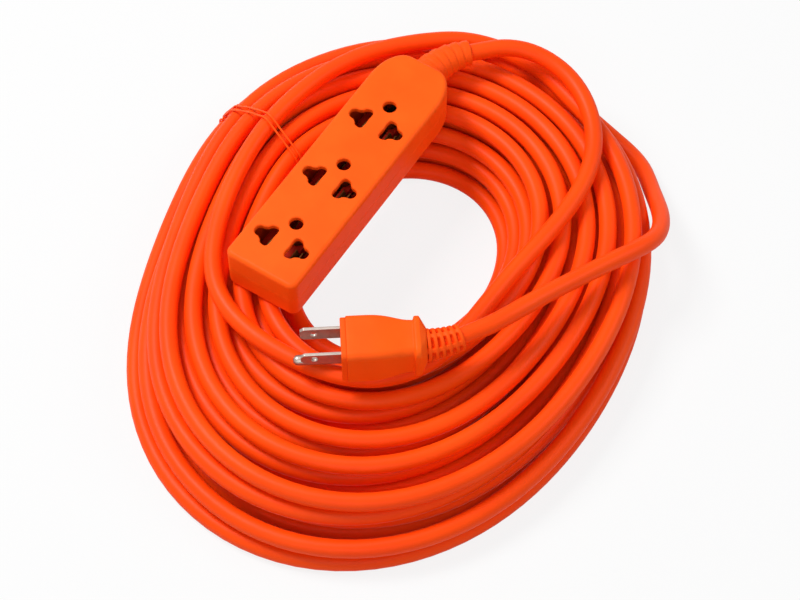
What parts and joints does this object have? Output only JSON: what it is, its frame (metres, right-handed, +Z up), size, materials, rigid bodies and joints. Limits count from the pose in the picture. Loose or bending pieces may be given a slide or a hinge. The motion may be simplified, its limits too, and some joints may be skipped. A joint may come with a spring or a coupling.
{
  "type": "extension cord",
  "caption": "Coiled orange grounded extension cord with a triple outlet block at one end and a moulded grounded plug at the other.",
  "frame": {"origin": "on the floor in the middle of the coil's eye", "axes": "+X along the outlet block towards its cord end, +Y to the block's left seen from above, +Z up"},
  "size_m": [0.2945, 0.243, 0.0663],
  "materials": {
    "orange_pvc": "satin",
    "cord_jacket": "satin",
    "carrier": "matte",
    "contact_brass": "satin",
    "screw_steel": "satin",
    "live_insulation": "matte",
    "neutral_insulation": "matte",
    "ground_insulation": "matte",
    "blade_nickel": "polished"
  },
  "bodies": {
    "root": {"block_base": "orange_pvc", "block_cover": "orange_pvc", "contact_carrier": "carrier", "live_bus": "contact_brass", "neutral_bus": "contact_brass", "ground_bus": "contact_brass", "cover_screws": "screw_steel", "cord_clamp": "carrier", "clamp_screws": "screw_steel", "live_wire": "live_insulation", "neutral_wire": "neutral_insulation", "ground_wire": "ground_insulation", "jacket_end": "cord_jacket", "block_relief": "orange_pvc", "cord_lead": "cord_jacket", "cord_coil": "cord_jacket", "cord_tail": "cord_jacket", "cord_tie": "cord_jacket", "plug_body": "orange_pvc", "plug_insert": "orange_pvc", "live_blade": "blade_nickel", "neutral_blade": "blade_nickel", "ground_pin": "blade_nickel", "plug_relief": "orange_pvc"}
  },
  "joints": []
}
